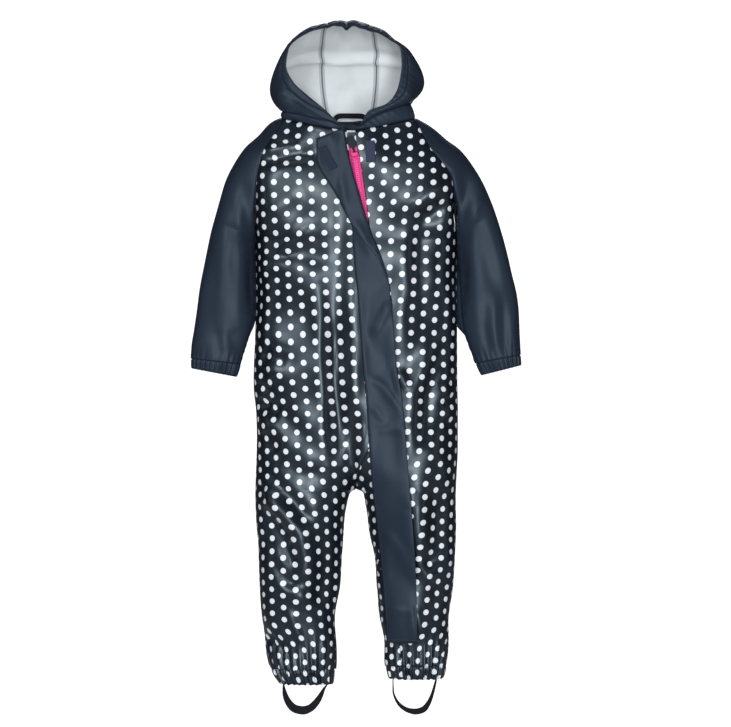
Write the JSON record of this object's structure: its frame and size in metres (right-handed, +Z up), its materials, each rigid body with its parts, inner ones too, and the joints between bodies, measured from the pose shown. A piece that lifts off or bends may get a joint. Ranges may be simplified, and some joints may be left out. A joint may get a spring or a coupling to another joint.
{
  "type": "hooded rain suit",
  "caption": "Small child's one-piece hooded rain suit, filled out as worn: raglan sleeves, slanted zip under a storm flap, elastic cuffs and ankles, foot straps.",
  "frame": {"origin": "middle of the neck, where the suit rests on the wearer", "axes": "+Z up the body, -Y out of the front, +X to the viewer's right as the front is seen"},
  "size_m": [0.4305, 0.1288, 0.9012],
  "materials": {
    "dotted_cloth": "glossy coated cloth, near black navy with a white dot print",
    "plain_cloth": "satin coated cloth, dark navy",
    "pink_zip": "matt pink zip tape and teeth",
    "dark_patch": "matt hook-and-loop pile",
    "blue_patch": "matt hook-and-loop pile",
    "elastic": "matt woven elastic",
    "pink_metal": "satin paint",
    "pull_plastic": "matt"
  },
  "bodies": {
    "suit": {"front_left": "dotted_cloth", "front_right": "dotted_cloth", "front_right_inner": "dotted_cloth", "back_left": "dotted_cloth", "back_right": "dotted_cloth", "zip_guard": "dotted_cloth", "hem_left": "dotted_cloth", "hem_right": "dotted_cloth", "sleeve_left": "plain_cloth", "sleeve_right": "plain_cloth", "cuff_left": "plain_cloth", "cuff_right": "plain_cloth", "neckband": "plain_cloth", "hood_side_left": "plain_cloth", "hood_centre": "plain_cloth", "hood_side_right": "plain_cloth", "hood_hem": "plain_cloth", "storm_flap": "plain_cloth", "zip_tape": "pink_zip", "flap_patch": "dark_patch", "body_patch": "blue_patch", "hanger_loop": "elastic", "stirrup_left": "elastic", "stirrup_right": "elastic", "zip_slider": "pink_metal"},
    "pull": {"zip_pull": "pull_plastic"}
  },
  "joints": [
    {"name": "pull_swing", "type": "hinge", "parent": "suit", "child": "pull", "pos_m": [-0.0025, -0.05685, -0.03396], "axis": [0.969, 0.0133, 0.2466], "range_deg": [0, 160]}
  ]
}
